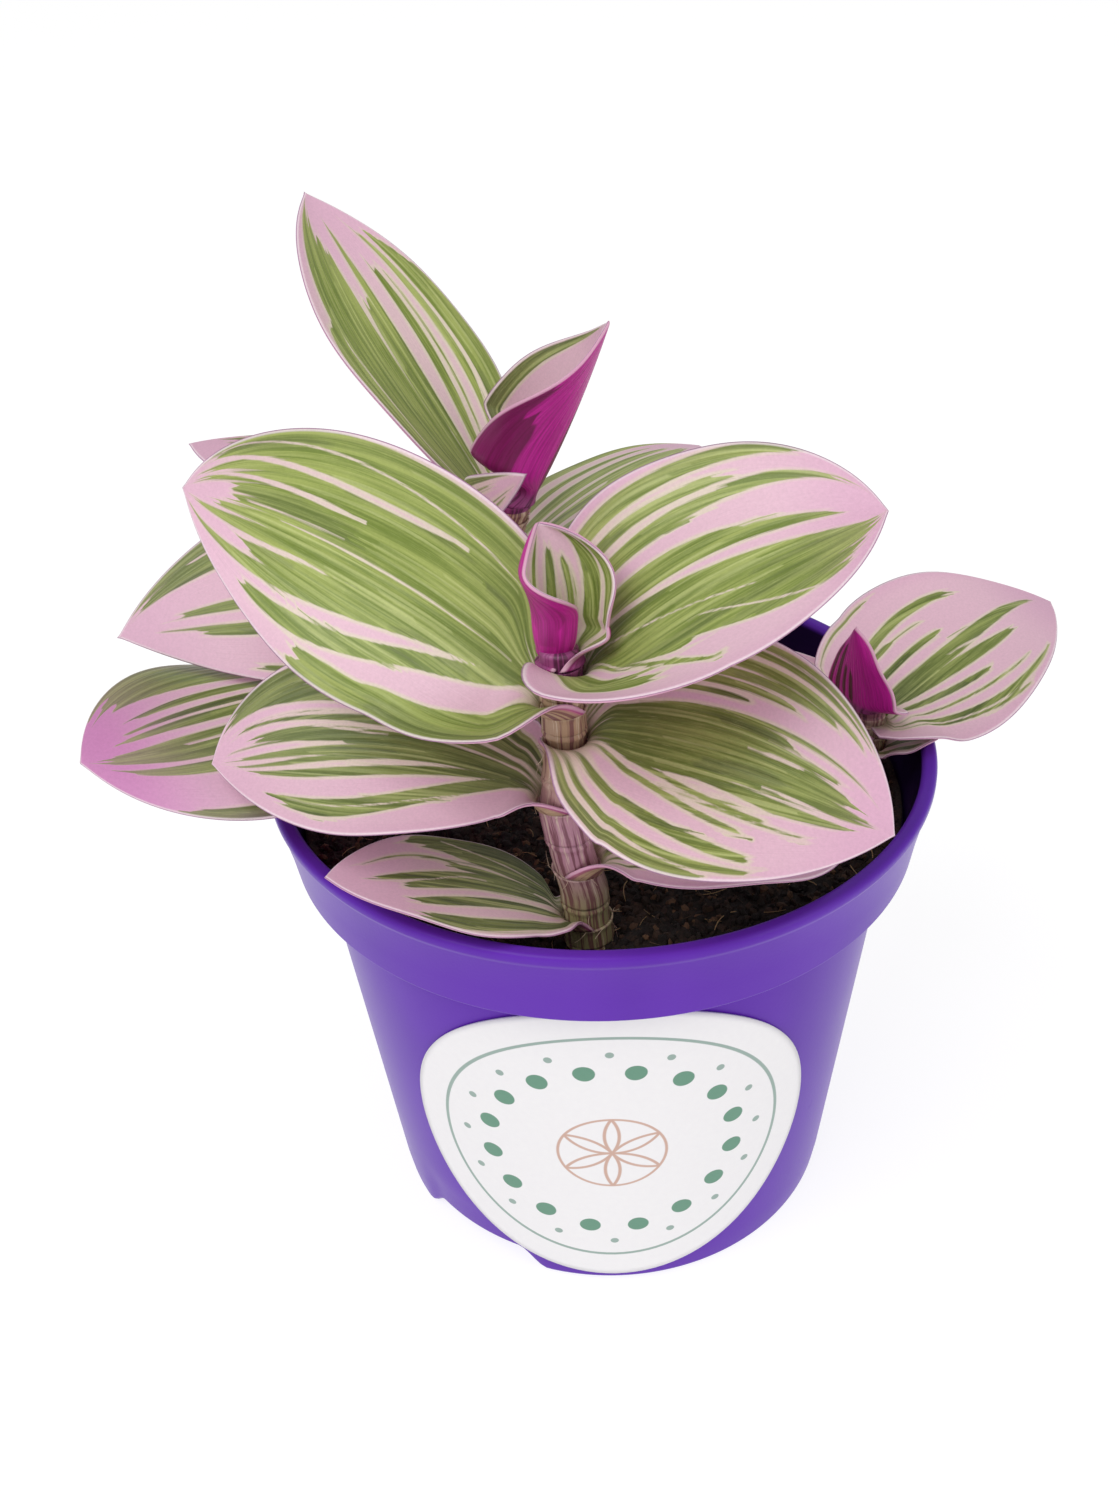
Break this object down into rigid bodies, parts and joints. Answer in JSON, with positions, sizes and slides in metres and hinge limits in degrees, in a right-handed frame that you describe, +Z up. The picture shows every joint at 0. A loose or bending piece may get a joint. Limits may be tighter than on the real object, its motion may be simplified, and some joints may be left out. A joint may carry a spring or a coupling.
{
  "type": "potted tradescantia",
  "caption": "Young trailing house plant with oval striped leaves on jointed stems, in a round nursery pot filled with peat, with a round paper label.",
  "frame": {"origin": "centre of the pot's flat underside", "axes": "+Z up along the pot's axis; +X to the right and +Y away as seen from the label's side"},
  "size_m": [0.1492, 0.1181, 0.1617],
  "materials": {
    "pot_plastic": "satin purple polypropylene",
    "label_paper": "smooth white label",
    "peat": "dark crumbly peat",
    "stem": "satin brown-purple stem",
    "striped_leaf": "satin olive green, cream and pink stripes",
    "pink_leaf": "satin pale pink with a green band",
    "young_leaf": "satin magenta underside"
  },
  "bodies": {
    "root": {"pot": "pot_plastic", "label": "label_paper", "soil": "peat", "stem_a": "stem", "stem_b": "stem", "stem_c": "stem", "leaf_a1": "striped_leaf", "leaf_a2": "striped_leaf", "leaf_a3": "striped_leaf", "leaf_a4": "striped_leaf", "leaf_a5": "striped_leaf", "leaf_a6": "striped_leaf", "leaf_a7": "young_leaf", "leaf_b1": "striped_leaf", "leaf_b2": "striped_leaf", "leaf_b3": "striped_leaf", "leaf_b4": "striped_leaf", "leaf_b5": "striped_leaf", "leaf_b6": "striped_leaf", "leaf_b7": "striped_leaf", "leaf_b8": "young_leaf", "leaf_c1": "striped_leaf", "leaf_c2": "striped_leaf", "leaf_c3": "pink_leaf", "leaf_c4": "young_leaf"}
  },
  "joints": []
}
